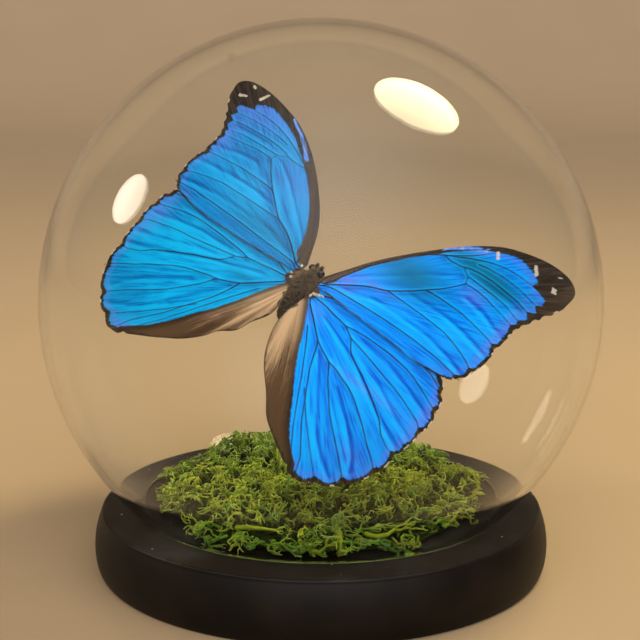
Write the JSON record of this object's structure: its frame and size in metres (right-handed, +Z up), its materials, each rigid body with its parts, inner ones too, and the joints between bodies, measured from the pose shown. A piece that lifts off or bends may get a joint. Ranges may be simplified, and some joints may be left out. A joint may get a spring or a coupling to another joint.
{
  "type": "butterfly in a glass globe",
  "caption": "Spread blue butterfly on a hidden wire over a bed of green moss, inside a clear hollow glass globe on a low round black base.",
  "frame": {"origin": "centre of the base's underside", "axes": "+Z up through the base and the globe, +X to the right seen from the front, +Y to the back"},
  "size_m": [0.17, 0.17, 0.167],
  "materials": {
    "black_painted_wood": "satin black paint over turned wood, faint lathe rings and dust",
    "clear_glass": "clear blown glass, smooth and glossy",
    "reindeer_moss": "dry branching lichen, dyed green, matte",
    "blue_wing": "iridescent blue scales with dark veins and a brown-black margin",
    "brown_fur": "short grey-brown hairs, matte",
    "steel_wire": "thin bare wire"
  },
  "bodies": {
    "root": {"base": "black_painted_wood", "glass_globe": "clear_glass", "moss_bed": "reindeer_moss", "forewing_right": "blue_wing", "forewing_left": "blue_wing", "hindwing_right": "blue_wing", "hindwing_left": "blue_wing", "butterfly_body": "brown_fur", "support_wire": "steel_wire"}
  },
  "joints": []
}
